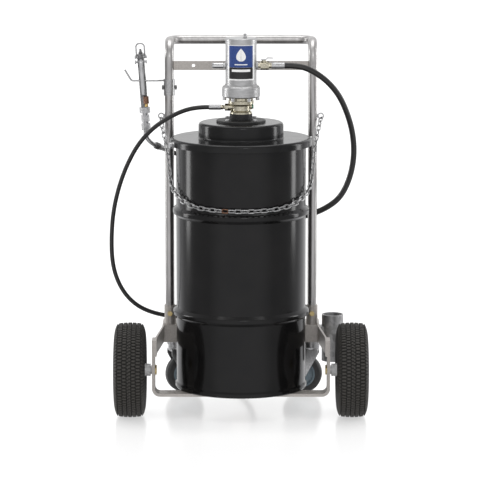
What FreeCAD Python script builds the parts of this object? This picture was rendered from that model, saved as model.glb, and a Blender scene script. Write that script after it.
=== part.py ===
import FreeCAD, Part
import math
import os
import re
import Sketcher

# Air-powered grease pump on a wheeled drum cart.  Millimetres; X to the right,
# Y away from the front, Z up from the floor; the origin is on the floor, midway
# between the outer faces of the tyres and midway from front to back.

Vector = FreeCAD.Vector
Placement = FreeCAD.Placement
Rotation = FreeCAD.Rotation

SIZES = {
    # where the main axes stand
    "axle_y": -123, "axle_z": 129, "drum_y": -31, "leg_y": 105, "leg_x": 198,
    "swivel_x": 190, "swivel_y": 184.5, "swivel_shift": 8,
    # cart frame
    "strap_half": 242, "strap_thick": 8, "strap_wide": 50, "strap_low": 59,
    "strap_top": 214, "strap_bend": 22, "spine_rear": 164, "spine_top": 208,
    "arm_thick": 5, "arm_low": 170, "cross_half": 214, "cross_front": 85,
    "cross_rear": 177, "cross_top": 213, "cross_low": 170, "cross_skin": 4,
    "drum_relief": 184, "pad_thick": 6, "pad_inner": 150, "pad_outer": 223, "pad_rear": 252,
    # handle
    "tube_radius": 12.7, "tube_wall": 2, "handle_top": 1000, "handle_bend": 50,
    "handle_reach": 100, "handle_corner": 40, "leg_foot": 218,
    "socket_radius": 16, "socket_bore": 13, "socket_top": 267, "socket_bolt_z": 245,
    "bar_low": 925, "bar_high": 950, "bar_thick": 4, "bar_hole_x": 131, "bar_hole": 4.5,
    # pump holder
    "holder_x": 255.5, "holder_y": 92, "holder_radius": 30.15, "holder_bore": 26.25,
    "holder_low": 112, "holder_top": 243,
    # road wheels
    "tyre_radius": 129, "tyre_half": 43, "wheel_x": 302, "rim_seat": 51, "rim_edge": 60,
    "hub_radius": 17, "hub_bore": 14.3, "hub_inner": 56, "hub_outer": 30,
    "axle_radius": 8, "axle_bore": 8.05, "axle_hole": 8.3, "bearing_wide": 12,
    "axle_head_across": 24, "axle_head_long": 4.5,
    # casters
    "caster_radius": 55, "caster_half": 16, "caster_trail": 24, "caster_core": 37,
    "caster_pin": 5, "caster_bore": 5.05, "fork_inner": 19.5, "fork_skin": 3,
    "fork_top": 126, "king_radius": 6, "king_bore": 6.05, "caster_bolt_dx": 10,
    "caster_bolt_dy": 38, "plate_low": 158, "plate_top": 164,
    # drum and cover
    "drum_radius": 177, "drum_wall": 2, "drum_low": 67, "drum_top": 747,
    "hoop_radius": 186, "hoop_low_z": 277, "hoop_high_z": 556, "hoop_half": 5, "hoop_slope": 14,
    "lid_radius": 193.5, "lid_skirt": 736, "lid_rim": 756, "cap_radius": 116, "cap_top": 798,
    "lid_skin": 3, "follower_z": 500, "follower_radius": 160,
    # pump
    "flange_radius": 67, "flange_top": 804, "flange_bolt_ring": 52, "collar_radius": 31,
    "collar_top": 821, "down_radius": 19, "down_bore": 15, "down_low": 96, "foot_low": 80,
    "outlet_z": 841, "outlet_top": 866, "rod_radius": 6, "rod_bore": 6.05,
    "motor_radius": 42.3, "motor_bore": 38, "motor_floor": 895, "flare_radius": 52,
    "flare_top": 903, "motor_top": 1012, "motor_crown": 1027, "inlet_z": 951,
    # hoses and gun
    "grease_hose_radius": 6, "air_hose_radius": 8, "grease_ferrule": 7.2, "air_ferrule": 8.8,
    "hook_wire": 2.5, "hook_z": 896.6, "clamp_low": 855, "clamp_high": 900, "clamp_skin": 3,
    "clamp_bolt_z": 877, "clamp_hole": 3.2,
    "eye_z": 798, "eye_thick": 4, "chain_wire": 1.75, "chain_pitch": 17.6, "chain_length": 25, "chain_width": 14.5,
}

doc = FreeCAD.newDocument("DrumPumpCart")
sheet = doc.addObject("Spreadsheet::Sheet", "Dims")
for row, (alias, value) in enumerate(SIZES.items(), start=1):
    sheet.set("A%d" % row, alias.replace("_", " "))
    sheet.set("B%d" % row, str(value))
    sheet.setAlias("B%d" % row, alias)
doc.recompute()

WORD = re.compile(r"[a-z][a-z_]*")
ALONG = {
    "Z": Rotation(),
    "-Z": Rotation(Vector(1, 0, 0), 180),
    "X": Rotation(Vector(0, 1, 0), 90),
    "-X": Rotation(Vector(0, 1, 0), -90),
    "Y": Rotation(Vector(1, 0, 0), -90),
    "-Y": Rotation(Vector(1, 0, 0), 90),
}
SIDES = (("left", -1), ("right", 1))
nodes = []
frame_bolts = []
pump_screws = []
ferrules = []


# ---- helpers ---------------------------------------------------------------

def bound(text):
    """The expression for a size written with the sheet's own names."""
    return WORD.sub(lambda m: "Dims." + m.group(0) if m.group(0) in SIZES else m.group(0), str(text))


def size(text):
    """The value of such a size."""
    return float(sheet.evalExpression(bound(text)))


def point(at):
    return Vector(*[size(value) for value in at])


def pose(at, along="Z"):
    return Placement(point(at), ALONG[along])


def keep(made):
    """Marks an object as a sub-part: its label names its file."""
    made.Label = made.Name
    nodes.append(made)
    return made


def cylinder(name, radius, length, at, along="Z"):
    made = doc.addObject("Part::Cylinder", name)
    made.setExpression("Radius", bound(radius))
    made.setExpression("Height", bound(length))
    made.Placement = pose(at, along)
    return made


def hexagon(name, across, length, at, along="Z"):
    made = doc.addObject("Part::Prism", name)
    made.Polygon = 6
    made.setExpression("Circumradius", "(%s) / sqrt(3)" % bound(across))
    made.setExpression("Height", bound(length))
    made.Placement = pose(at, along)
    return made


def box(name, low, high):
    made = doc.addObject("Part::Box", name)
    for side, first, last in zip(("Length", "Width", "Height"), low, high):
        made.setExpression(side, "(%s) - (%s)" % (bound(last), bound(first)))
    made.Placement = pose(low)
    return made


def fuse(name, shapes):
    made = doc.addObject("Part::MultiFuse", name)
    made.Shapes = shapes
    made.Refine = True
    return made


def cut(name, base, tools):
    made = doc.addObject("Part::Cut", name)
    made.Base = base
    made.Tool = tools[0] if len(tools) == 1 else fuse(name + "_tools", tools)
    return made


def group(name, members):
    made = doc.addObject("Part::Compound", name)
    made.Links = members
    return made


def sketched(body, plane, outline):
    """A closed outline on one of the body's own planes, every corner bound to the sheet."""
    sketch = body.newObject("Sketcher::SketchObject", body.Name + "_outline")
    sketch.AttachmentSupport = [([f for f in body.Origin.OriginFeatures if f.Role == plane][0], "")]
    sketch.MapMode = "FlatFace"
    corners = [Vector(size(across), size(up), 0) for across, up in outline]
    count = len(corners)
    for index in range(count):
        sketch.addGeometry(Part.LineSegment(corners[index], corners[(index + 1) % count]), False)
    for index in range(count):
        sketch.addConstraint(Sketcher.Constraint("Coincident", index, 2, (index + 1) % count, 1))
    for index, words in enumerate(outline):
        for kind, word, value in zip(("DistanceX", "DistanceY"), words, (corners[index].x, corners[index].y)):
            number = sketch.addConstraint(Sketcher.Constraint(kind, -1, 1, index, 1, value))
            if WORD.search(str(word)):
                sketch.setExpression("Constraints[%d]" % number, bound(word))
    return sketch


def revolved(name, outline, at=(0, 0, 0), along="Z"):
    """A turned piece: the outline holds (radius, height) pairs."""
    body = doc.addObject("PartDesign::Body", name)
    sketch = sketched(body, "XZ_Plane", outline)
    turn = body.newObject("PartDesign::Revolution", name + "_turn")
    turn.Profile = sketch
    turn.ReferenceAxis = (sketch, ["V_Axis"])
    turn.Angle = 360
    body.Tip = turn
    body.Placement = pose(at, along)
    doc.recompute()
    return body


def padded(name, plane, outline, length, at=(0, 0, 0), midplane=True):
    """A piece of constant thickness, cut to the outline."""
    body = doc.addObject("PartDesign::Body", name)
    sketch = sketched(body, plane, outline)
    pad = body.newObject("PartDesign::Pad", name + "_pad")
    pad.Profile = sketch
    pad.setExpression("Length", bound(length))
    pad.Midplane = midplane
    body.Tip = pad
    body.Placement = pose(at)
    doc.recompute()
    return body


def round_edges(body, chosen, radius):
    """Rounds the edges of the body's last feature that the test picks."""
    base = body.Tip
    names = ["Edge%d" % number for number, edge in enumerate(base.Shape.Edges, start=1) if chosen(edge)]
    if not names:
        raise RuntimeError("no edge to round on " + body.Name)
    fillet = body.newObject("PartDesign::Fillet", "%s_round%d" % (body.Name, len(body.Group)))
    fillet.Base = (base, names)
    fillet.setExpression("Radius", bound(radius))
    body.Tip = fillet
    doc.recompute()
    return body


def ring_at(*places):
    """Picks the circular edges at the given (radius, height) pairs."""
    wanted = [(size(radius), size(height)) for radius, height in places]

    def chosen(edge):
        if not isinstance(edge.Curve, Part.Circle):
            return False
        found = (edge.Curve.Radius, edge.Curve.Center.z)
        return any(math.dist(found, place) < 0.01 for place in wanted)
    return chosen


def fold_at(first, second, *places):
    """Picks the straight edges that stand at the given pairs of two coordinates."""
    wanted = [(size(one), size(two)) for one, two in places]

    def chosen(edge):
        ends = [vertex.Point for vertex in edge.Vertexes]
        if len(ends) != 2:
            return False
        return any(all(math.dist((getattr(end, first), getattr(end, second)), place) < 0.01 for end in ends)
                   for place in wanted)
    return chosen


def rounded_path(corners, radius_at):
    """Straight runs joined by tangent arcs; returns the wire and the arcs' radii."""
    edges = []
    radii = []
    start = corners[0]
    for before, corner, after in zip(corners, corners[1:], corners[2:]):
        back = before - corner
        ahead = after - corner
        turn = math.pi - back.getAngle(ahead)
        radius = radius_at(min(back.Length, ahead.Length), turn)
        reach = radius * math.tan(turn / 2)
        back.normalize()
        ahead.normalize()
        inward = back + ahead
        inward.normalize()
        enter = corner + back * reach
        leave = corner + ahead * reach
        middle = corner + inward * (radius / math.cos(turn / 2) - radius)
        edges.append(Part.LineSegment(start, enter).toShape())
        edges.append(Part.Arc(enter, middle, leave).toShape())
        radii.append(radius)
        start = leave
    edges.append(Part.LineSegment(start, corners[-1]).toShape())
    return Part.Wire(edges), radii


def swept(name, corners, radius, radius_at):
    """A round rod along a path; its volume is compared with its section times its length."""
    wire, radii = rounded_path([point(corner) for corner in corners], radius_at)
    start = wire.Edges[0]
    circle = Part.Circle(start.valueAt(start.FirstParameter), start.tangentAt(start.FirstParameter), size(radius))
    shape = wire.makePipeShell([Part.Wire([circle.toShape()])], True, False)
    ideal = math.pi * size(radius) ** 2 * wire.Length
    if abs(shape.Volume / ideal - 1) > 0.002:
        raise RuntimeError("%s sweeps to %.0f instead of %.0f" % (name, shape.Volume, ideal))
    made = doc.addObject("Part::Feature", name)
    made.Shape = shape
    print("%s: length %.0f, radii %s" % (name, wire.Length, " ".join("%.0f" % value for value in radii)))
    return made


def hose_radius(run, turn):
    """A hose's bend is as wide as its two runs allow."""
    return 0.45 * run / math.tan(turn / 2)


def fixed_radius(value):
    return lambda run, turn: value


def bolt(name, head_across, head_long, shank, reach, at, along, nut_at=None, nut_long=None):
    """A hexagon-head bolt: the head ends at the given point, the shank runs on from it."""
    turn = ALONG[along]
    seat = point(at)
    head = hexagon(name + "_head", head_across, head_long, (0, 0, 0))
    head.Placement = Placement(seat - turn.multVec(Vector(0, 0, size(head_long))), turn)
    stem = cylinder(name + "_stem", shank, reach, (0, 0, 0))
    stem.Placement = Placement(seat, turn)
    pieces = [head, stem]
    if nut_at is not None:
        nut = hexagon(name + "_nut", head_across, nut_long, (0, 0, 0))
        nut.Placement = Placement(seat + turn.multVec(Vector(0, 0, size(nut_at))), turn)
        pieces.append(nut)
    return fuse(name, pieces)


# ---- cart frame ------------------------------------------------------------

def make_base_strap():
    """Flat bar bent to a U; the drum stands on its bottom run."""
    inner = "strap_half - strap_thick"
    floor = "strap_low + strap_thick"
    bent = padded("strap_bent", "XZ_Plane", [
        ("-strap_half", "strap_low"), ("strap_half", "strap_low"), ("strap_half", "strap_top"),
        (inner, "strap_top"), (inner, floor), ("-(%s)" % inner, floor),
        ("-(%s)" % inner, "strap_top"), ("-strap_half", "strap_top")], "strap_wide", (0, "axle_y", 0))
    round_edges(bent, fold_at("x", "z", ("strap_half", "strap_low"), ("-strap_half", "strap_low")), "strap_bend")
    round_edges(bent, fold_at("x", "z", (inner, floor), ("-(%s)" % inner, floor)), "strap_bend - strap_thick")
    drill = cylinder("strap_drill", "axle_hole", "2 * strap_half + 20", ("-strap_half - 10", "axle_y", "axle_z"), "X")
    keep(cut("base_strap", bent, [drill]))


def make_rear_strap():
    """Flat bar from the base strap back under the drum and up to the crossmember."""
    front = "axle_y + strap_wide / 2"
    inner = "spine_rear - strap_thick"
    floor = "strap_low + strap_thick"
    bar = padded("rear_strap", "YZ_Plane", [
        (front, "strap_low"), ("spine_rear", "strap_low"), ("spine_rear", "spine_top"),
        (inner, "spine_top"), (inner, floor), (front, floor)], "strap_wide")
    round_edges(bar, fold_at("y", "z", ("spine_rear", "strap_low")), "strap_bend - 6")
    round_edges(bar, fold_at("y", "z", (inner, floor)), "strap_bend - 6 - strap_thick")
    keep(bar)


def make_side_arms():
    """Flat bars on edge that join the strap's upright ends to the crossmember."""
    front = "axle_y - strap_wide / 2"
    behind = "axle_y + strap_wide / 2"
    inner = "strap_half - strap_thick"
    arms = []
    for side, sign in SIDES:
        outline = [(inner, front), (inner, behind), ("cross_half + arm_thick", "cross_front - 23"),
                   ("cross_half + arm_thick", "cross_rear"), ("cross_half", "cross_rear"),
                   ("cross_half", "cross_front - 23"), ("%s - arm_thick" % inner, behind),
                   ("%s - arm_thick" % inner, front)]
        outline = [("%d * (%s)" % (sign, across), deep) for across, deep in outline]
        arms.append(padded("side_arm_" + side, "XY_Plane", outline, "strap_top - arm_low", (0, 0, "arm_low"), False))
    keep(group("side_arms", arms))


def make_rear_crossmember():
    """Channel between the side arms, cut to the drum's curve in front."""
    plate = box("cross_plate", ("-cross_half", "cross_front", "cross_top - cross_skin"),
                ("cross_half", "cross_rear", "cross_top"))
    front = box("cross_front_flange", ("-cross_half", "cross_front", "cross_low"),
                ("cross_half", "cross_front + cross_skin", "cross_top"))
    rear = box("cross_rear_flange", ("-cross_half", "cross_rear - cross_skin", "cross_low"),
               ("cross_half", "cross_rear", "cross_top"))
    relief = cylinder("cross_relief", "drum_relief", 100, (0, "drum_y", 150))
    keep(cut("rear_crossmember", fuse("cross_channel", [plate, front, rear]), [relief]))
    pads = []
    for side, sign in SIDES:
        ends = sorted((sign * size("pad_inner"), sign * size("pad_outer")))
        blank = box("pad_%s_blank" % side, (ends[0], "cross_front", "cross_low - pad_thick"),
                    (ends[1], "pad_rear", "cross_low"))
        pads.append(cut("pad_" + side, blank, caster_bolt_holes("pad_drill_" + side, sign)))
    keep(group("caster_pads", pads))


def caster_bolt_spots(sign):
    return [(size("swivel_shift + %d * swivel_x + %d * caster_bolt_dx" % (sign, dx)), size("swivel_y + %d * caster_bolt_dy" % dy))
            for dx in (-1, 1) for dy in (-1, 1)]


def caster_bolt_holes(name, sign):
    return [cylinder("%s%d" % (name, number), 4.3, 30, (across, deep, 150))
            for number, (across, deep) in enumerate(caster_bolt_spots(sign))]


def make_handle():
    """One tube bent to a hoop: up both legs, back over the bend and across behind."""
    back = "leg_y + handle_reach"
    corners = [("-leg_x", "leg_y", "leg_foot"), ("-leg_x", "leg_y", "handle_top"), ("-leg_x", back, "handle_top"),
               ("leg_x", back, "handle_top"), ("leg_x", "leg_y", "handle_top"), ("leg_x", "leg_y", "leg_foot")]
    bends = iter(size(name) for name in ("handle_bend", "handle_corner", "handle_corner", "handle_bend"))
    outside = swept("handle_outside", corners, "tube_radius", lambda run, turn: next(bends))
    bends = iter(size(name) for name in ("handle_bend", "handle_corner", "handle_corner", "handle_bend"))
    inside = swept("handle_inside", corners, "tube_radius - tube_wall", lambda run, turn: next(bends))
    drills = [cylinder("leg_drill_" + side, 4.2, 60, ("%d * leg_x" % sign, "leg_y - 30", "socket_bolt_z"), "Y")
              for side, sign in SIDES]
    drills.append(cylinder("hook_drill", "clamp_hole", 60, ("-leg_x - 30", "leg_y", "clamp_bolt_z"), "X"))
    keep(cut("handle_tube", outside, [inside] + drills))
    sockets = []
    for side, sign in SIDES:
        across = "%d * leg_x" % sign
        shell = cylinder("socket_shell_" + side, "socket_radius", "socket_top - cross_top",
                         (across, "leg_y", "cross_top"))
        bore = cylinder("socket_bore_" + side, "socket_bore", "socket_top - cross_top",
                        (across, "leg_y", "cross_top"))
        drill = cylinder("socket_drill_" + side, 4.2, 60, (across, "leg_y - 30", "socket_bolt_z"), "Y")
        sockets.append(cut("leg_socket_" + side, shell, [bore, drill]))
        frame_bolts.append(bolt("socket_bolt_" + side, 13, 5, 4, "2 * socket_radius + 8",
                          (across, "leg_y - socket_radius", "socket_bolt_z"), "Y", "2 * socket_radius", 6))
    keep(group("leg_sockets", sockets))


def make_flat_crossbar():
    """Flat bar welded between the legs, with two accessory holes."""
    bar = box("bar_blank", ("-leg_x", "leg_y - bar_thick / 2", "bar_low"),
              ("leg_x", "leg_y + bar_thick / 2", "bar_high"))
    tools = []
    for side, sign in SIDES:
        tools.append(cylinder("bar_mitre_" + side, "tube_radius", 60, ("%d * leg_x" % sign, "leg_y", "bar_low - 10")))
        tools.append(cylinder("bar_drill_" + side, "bar_hole", 40,
                              ("%d * bar_hole_x" % sign, "leg_y - 20", "(bar_low + bar_high) / 2"), "Y"))
    keep(cut("flat_crossbar", bar, tools))


def make_pump_holder():
    """Open pipe beside the right leg that the pump's down tube is stood in."""
    height = "holder_top - holder_low"
    shell = cylinder("holder_shell", "holder_radius", height, ("holder_x", "holder_y", "holder_low"))
    bore = cylinder("holder_inside", "holder_bore", height, ("holder_x", "holder_y", "holder_low"))
    pipe = cut("holder_pipe", shell, [bore])
    block = box("saddle_blank", ("cross_half + arm_thick", "holder_y - 18", "arm_low + 4"),
                ("holder_x - 18", "holder_y + 18", "strap_top - 4"))
    hollow = cylinder("saddle_hollow", "holder_radius", height, ("holder_x", "holder_y", "holder_low"))
    keep(fuse("pump_holder_pipe", [pipe, cut("holder_saddle", block, [hollow])]))


# ---- road wheels -----------------------------------------------------------

def make_road_wheels():
    """Pneumatic tyres on two-piece rims, each on its own axle bolt."""
    tyre = [("rim_seat + 0.2", -27), ("rim_edge + 1", -30), (64, -38), (86, "-tyre_half"), (108, -42), (121, -36.5),
            (127, -26), ("tyre_radius", -12), ("tyre_radius", 12), (127, 26), (121, 36.5), (108, 42),
            (86, "tyre_half"), (64, 38), ("rim_edge + 1", 30), ("rim_seat + 0.2", 27), ("rim_seat + 0.2", 20),
            (60, 22), (72, 31), (88, 35), (104, 34), (115, 28), (121, 12), (121, -12), (115, -28), (104, -34),
            (88, -35), (72, -31), (60, -22), ("rim_seat + 0.2", -20)]
    rim = [("hub_bore", "-hub_inner"), ("hub_radius", "-hub_inner"), ("hub_radius", -2), (48, -2), (48, -31),
           ("rim_edge", -34), ("rim_edge", -31), ("rim_seat", -28), ("rim_seat", 28), ("rim_edge", 31),
           ("rim_edge", 34), (48, 31), (48, 2), ("hub_radius", 2), ("hub_radius", "hub_outer"),
           ("hub_bore", "hub_outer")]
    ring = [("axle_bore", 0), ("hub_bore", 0), ("hub_bore", "bearing_wide"), ("axle_bore", "bearing_wide")]
    hardware = []
    for side, sign in SIDES:
        outward = "X" if sign > 0 else "-X"
        middle = "%d * wheel_x" % sign

        def out(distance):
            return ("%s + %d * (%s)" % (middle, sign, distance), "axle_y", "axle_z")
        keep(revolved("tyre_" + side, tyre, out(0), outward))
        keep(revolved("rim_" + side, rim, out(0), outward))
        bearings = [revolved("bearing_inner_" + side, ring, out("-hub_inner"), outward),
                    revolved("bearing_outer_" + side, ring, out("hub_outer - bearing_wide"), outward)]
        keep(group("wheel_bearings_" + side, bearings))
        seat = "%d * (strap_half - strap_thick)" % sign
        hardware.append(bolt("axle_bolt_" + side, "axle_head_across", "axle_head_long", "axle_radius",
                             "wheel_x + hub_outer - strap_half + strap_thick + 12", (seat, "axle_y", "axle_z"),
                             outward))
        washer = [("axle_bore + 0.2", 0), (12, 0), (12, 3.7), ("axle_bore + 0.2", 3.7)]
        inner = "%d * strap_half" % sign
        hardware.append(revolved("spacer_" + side, washer, (inner, "axle_y", "axle_z"), outward))
        disc = [("axle_bore + 0.2", 0), (15, 0), (15, 2), ("axle_bore + 0.2", 2)]
        hardware.append(revolved("end_washer_" + side, disc, out("hub_outer + 0.3"), outward))
        nut = hexagon("nut_blank_" + side, "axle_head_across", 8.5, out("hub_outer + 2.3"), outward)
        drill = cylinder("nut_drill_" + side, "axle_bore + 0.2", 10, out("hub_outer + 2"), outward)
        hardware.append(cut("end_nut_" + side, nut, [drill]))
    keep(group("axle_bolts", hardware))


# ---- casters ---------------------------------------------------------------

def make_casters():
    """Swivel casters under the crossmember; each is drawn at its swivel axis and then turned."""
    plates = []
    cup = [("king_bore", 140.6), (27, 140.6), (27, 150), (22, "plate_low"), ("king_bore", "plate_low")]
    boss = [(0, "fork_top - 4"), (22, "fork_top - 4"), (22, "fork_top"), (24, 132), (24, 140), ("king_radius", 140),
            ("king_radius", "plate_low - 1"), (0, "plate_low - 1")]
    cheek = [(-21, "fork_top"), (21, "fork_top"), (24, 112), ("caster_trail + 11", 62), ("caster_trail + 11", 49),
             ("caster_trail + 4", 43), ("caster_trail - 4", 43), ("caster_trail - 11", 49), (-21, 112)]
    tread = [("caster_core", "-caster_half + 1"), (46, "-caster_half"), (51, "-caster_half + 1.5"),
             ("caster_radius", "-caster_half + 7"), ("caster_radius", "caster_half - 7"),
             (51, "caster_half - 1.5"), (46, "caster_half"), ("caster_core", "caster_half - 1")]
    core = [("caster_bore", -19), (14, -19), (16, -12), (30, -9), (32, -14), ("caster_core", "-caster_half + 1"),
            ("caster_core", "caster_half - 1"), (32, 14), (30, 9), (16, 12), (14, 19), ("caster_bore", 19)]
    for (side, sign), heading in zip(SIDES, (20, 172)):
        king_x = size("swivel_shift + %d * swivel_x" % sign)
        swivel = Placement(Vector(king_x, size("swivel_y"), 0), Rotation(Vector(0, 0, 1), heading))
        hub = (size("caster_trail"), 0, size("caster_radius"))
        block = box("plate_%s_block" % side, ("-caster_bolt_dx - 17", "-caster_bolt_dy - 10", "plate_low"),
                    ("caster_bolt_dx + 17", "caster_bolt_dy + 10", "plate_top"))
        block.Placement = Placement(block.Placement.Base + Vector(swivel.Base.x, swivel.Base.y, 0), Rotation())
        race = revolved("race_" + side, cup, (swivel.Base.x, swivel.Base.y, 0))
        plates.append(cut("plate_" + side, fuse("plate_%s_solid" % side, [block, race]),
                          caster_bolt_holes("plate_drill_" + side, sign)))
        for number, (across, deep) in enumerate(caster_bolt_spots(sign)):
            frame_bolts.append(bolt("caster_bolt_%s%d" % (side, number), 10, 4.5, 4, 18,
                                    (across, deep, "plate_low"), "Z", "plate_top - plate_low + pad_thick", 5))
        cheeks = []
        for face, offset in (("near", "-fork_inner - fork_skin"), ("far", "fork_inner")):
            plate = padded("fork_%s_%s" % (face, side), "XZ_Plane", cheek, "fork_skin", (0, 0, 0), False)
            plate.Placement = Placement(Vector(0, size(offset) + size("fork_skin"), 0), Rotation())
            cheeks.append(plate)
        crown = box("fork_crown_" + side, (-21, "-fork_inner - fork_skin", "fork_top - 4"),
                    (21, "fork_inner + fork_skin", "fork_top"))
        king = revolved("fork_king_" + side, boss)
        solid = fuse("fork_%s_solid" % side, cheeks + [crown, king])
        drill = cylinder("fork_drill_" + side, "caster_pin", 80, (hub[0], -40, hub[2]), "Y")
        fork = cut("fork_" + side, solid, [drill])
        tyre = revolved("caster_tyre_" + side, tread, hub, "Y")
        wheel = revolved("caster_core_" + side, core, hub, "Y")
        reach = "2 * fork_inner + 2 * fork_skin"
        axle = bolt("fork_axle_" + side, 15, 5, "caster_pin", "%s + 7" % reach,
                    (hub[0], "-fork_inner - fork_skin", hub[2]), "Y", reach, 6)
        for made in (group("caster_fork_" + side, [fork, axle]), tyre, wheel):
            made.Placement = swivel.multiply(made.Placement)
            keep(made)
    keep(group("caster_plates", plates))


# ---- drum and cover --------------------------------------------------------

def make_drum():
    """Open-head steel drum with two rolling hoops."""
    skin = "drum_radius - drum_wall"
    outside = [("drum_radius + 1", "drum_low"), ("drum_radius + 3.5", "drum_low + 3"),
               ("drum_radius + 3.5", "drum_low + 11"), ("drum_radius", "drum_low + 16")]
    inside = []
    for middle in ("hoop_low_z", "hoop_high_z"):
        outside += [("drum_radius", "%s - hoop_slope" % middle), ("hoop_radius", "%s - hoop_half" % middle),
                    ("hoop_radius", "%s + hoop_half" % middle), ("drum_radius", "%s + hoop_slope" % middle)]
        inside += [(skin, "%s - hoop_slope - 0.8" % middle),
                   ("hoop_radius - drum_wall", "%s - hoop_half - 0.8" % middle),
                   ("hoop_radius - drum_wall", "%s + hoop_half + 0.8" % middle),
                   (skin, "%s + hoop_slope + 0.8" % middle)]
    outside += [("drum_radius", "drum_top - 14"), ("drum_radius + 5", "drum_top - 10"),
                ("drum_radius + 5", "drum_top"), (skin, "drum_top")]
    inside = list(reversed(inside))
    bottom = [(skin, "drum_low + 9"), (0, "drum_low + 9"), (0, "drum_low + 6"), ("drum_radius - 3", "drum_low + 6"),
              ("drum_radius - 3", "drum_low")]
    shell = revolved("drum_shell", outside + inside + bottom, (0, "drum_y", 0))
    crests = []
    for middle in ("hoop_low_z", "hoop_high_z"):
        crests += [("hoop_radius", "%s - hoop_half" % middle), ("hoop_radius", "%s + hoop_half" % middle)]
    round_edges(shell, ring_at(*crests), 4)
    keep(shell)


def screw_spots():
    """The cover's two clamp screws, on opposite sides of its rim."""
    return [math.radians(angle) for angle in (200, 20)]


def make_cover():
    """Cover that sits over the drum's rim, with a raised middle for the pump."""
    under = "lid_rim - lid_skin"
    lid = revolved("lid_blank", [
        ("down_radius + 0.5", "cap_top"), ("cap_radius", "cap_top"), ("cap_radius", "lid_rim"),
        ("lid_radius", "lid_rim"), ("lid_radius", "lid_skirt"), ("lid_radius - lid_skin", "lid_skirt"),
        ("lid_radius - lid_skin", under), ("cap_radius - lid_skin", under),
        ("cap_radius - lid_skin", "cap_top - lid_skin"), ("down_radius + 0.5", "cap_top - lid_skin")],
        (0, "drum_y", 0))
    round_edges(lid, ring_at(("cap_radius", "cap_top"), ("lid_radius", "lid_rim")), 9)
    round_edges(lid, ring_at(("cap_radius - lid_skin", "cap_top - lid_skin"), ("lid_radius - lid_skin", under)), 6)
    round_edges(lid, ring_at(("cap_radius", "lid_rim")), 4)
    drills = []
    screws = []
    for number, angle in enumerate(screw_spots()):
        outward = Rotation(Vector(0, 0, 1), math.degrees(angle)).multiply(ALONG["X"])

        def at(radius):
            spin = Vector(math.cos(angle), math.sin(angle), 0) * size(radius)
            return Vector(0, size("drum_y"), size("lid_skirt + 6")) + spin
        drill = cylinder("lid_drill%d" % number, 4.2, 30, (0, 0, 0))
        drill.Placement = Placement(at("lid_radius - 15"), outward)
        drills.append(drill)
        shank = cylinder("screw_shank%d" % number, 4, "lid_radius + 8 - drum_radius - 5.4", (0, 0, 0))
        shank.Placement = Placement(at("drum_radius + 5.4"), outward)
        collar = hexagon("screw_collar%d" % number, 14, 4, (0, 0, 0))
        collar.Placement = Placement(at("lid_radius + 0.2"), outward)
        knob = cylinder("screw_knob%d" % number, 8, 6, (0, 0, 0))
        knob.Placement = Placement(at("lid_radius + 6"), outward)
        screws.append(fuse("lid_screw%d" % number, [shank, collar, knob]))
    drills += [cylinder("lid_bolt_drill%d" % number, 3.2, 30,
                        tuple(flange_bolt_spot(number)) + ("cap_top - 20",)) for number in range(4)]
    keep(cut("drum_lid", lid, drills))
    keep(group("lid_screws", screws))
    keep(revolved("lid_gasket", [("drum_radius - 3", "drum_top"), ("drum_radius + 7", "drum_top"),
                                 ("drum_radius + 7", under), ("drum_radius - 3", under)], (0, "drum_y", 0)))


def make_follower():
    """Plate that rides on the grease, with a rubber wiper against the drum's wall."""
    plate = [("down_radius + 0.3", 0), ("follower_radius", 0), ("follower_radius", 22), ("follower_radius - 3", 22),
             ("follower_radius - 3", 5), ("down_radius + 8", 5), ("down_radius + 8", 30), ("down_radius + 0.3", 30)]
    keep(revolved("follower_plate", plate, (0, "drum_y", "follower_z")))
    lip = "drum_radius - drum_wall - 0.4"
    wiper = [("follower_radius", 2), (lip, 0), (lip, 8), ("follower_radius + 4", 10), ("follower_radius + 4", 18),
             ("follower_radius", 18)]
    keep(revolved("follower_wiper", wiper, (0, "drum_y", "follower_z")))


# ---- pump ------------------------------------------------------------------

def flange_bolt_spot(number):
    angle = math.radians(45 + 90 * number)
    return (size("flange_bolt_ring") * math.cos(angle), size("drum_y") + size("flange_bolt_ring") * math.sin(angle))


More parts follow.
